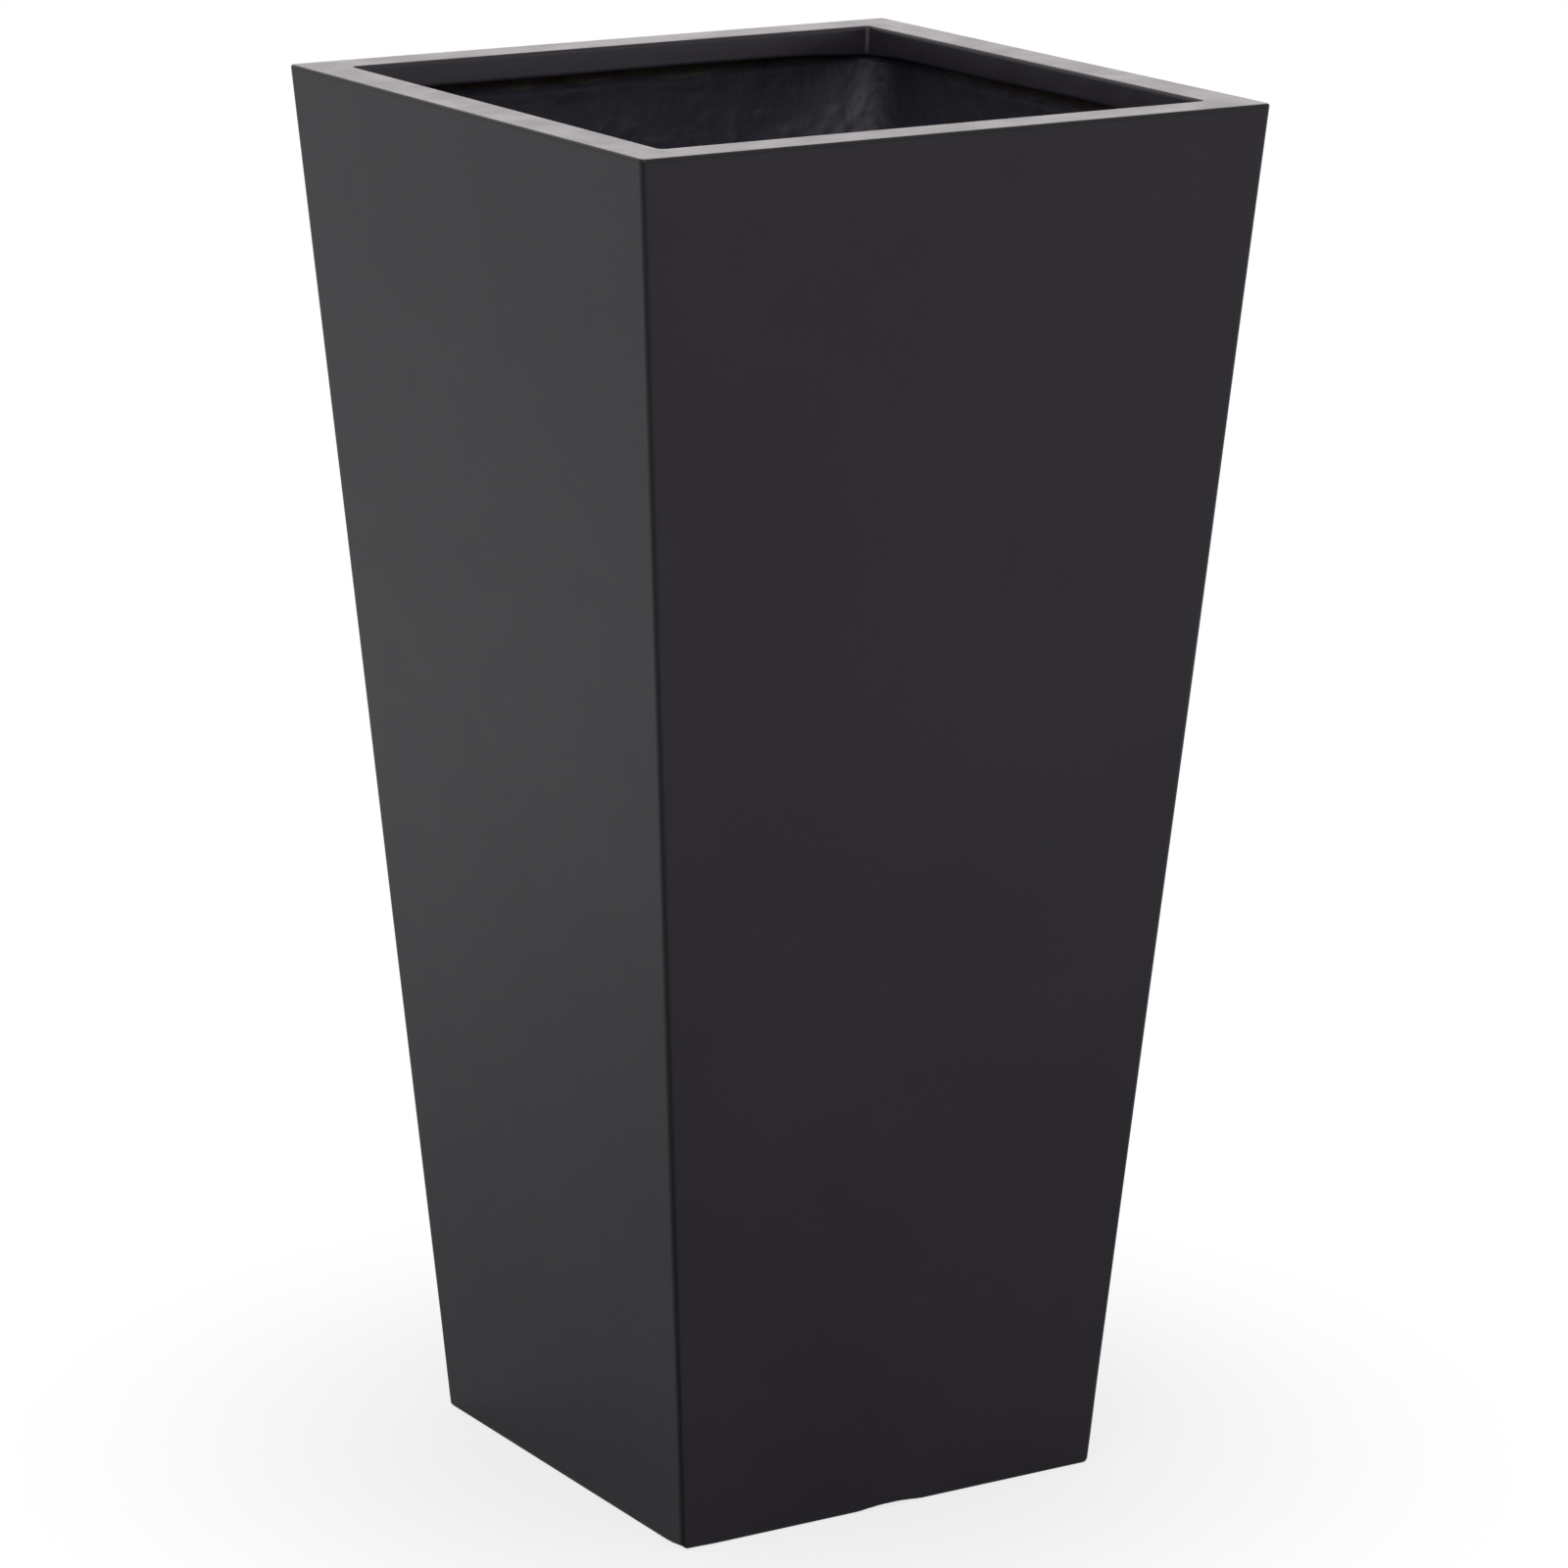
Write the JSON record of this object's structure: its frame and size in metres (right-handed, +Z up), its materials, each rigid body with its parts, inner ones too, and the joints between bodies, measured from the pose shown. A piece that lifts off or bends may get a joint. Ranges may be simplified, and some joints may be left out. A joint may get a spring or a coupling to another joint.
{
  "type": "tall square tapered planter",
  "caption": "Tall square fiberglass planter, wide at the mouth and narrow at the foot, with a flat turned-in rim, a hand-laid inside and a plugged drain hole.",
  "frame": {"origin": "middle of the underside, on the floor", "axes": "+Z up to the mouth, -Y the front wall, +X the right wall"},
  "size_m": [0.3998, 0.3998, 0.8],
  "materials": {
    "painted_shell": "satin black paint on a polyester and glass moulding",
    "backing_laminate": "hand-laid glass mat, brushed with thick black paint",
    "raw_filler": "unpainted brown resin filler",
    "rubber": "plain moulded black rubber"
  },
  "bodies": {
    "planter": {"outer_shell": "painted_shell", "rim_filler": "raw_filler", "floor_mat": "backing_laminate", "wall_mat_front": "backing_laminate", "wall_mat_right": "backing_laminate", "wall_mat_back": "backing_laminate", "wall_mat_left": "backing_laminate", "corner_strip_front_left": "backing_laminate", "corner_strip_front_right": "backing_laminate", "corner_strip_back_right": "backing_laminate", "corner_strip_back_left": "backing_laminate"},
    "drain_plug": {"drain_plug": "rubber"}
  },
  "joints": [
    {"name": "drain_plug_lift", "type": "slide", "parent": "planter", "child": "drain_plug", "axis": [0, 0, 1], "range_m": [0, 0.84]}
  ]
}
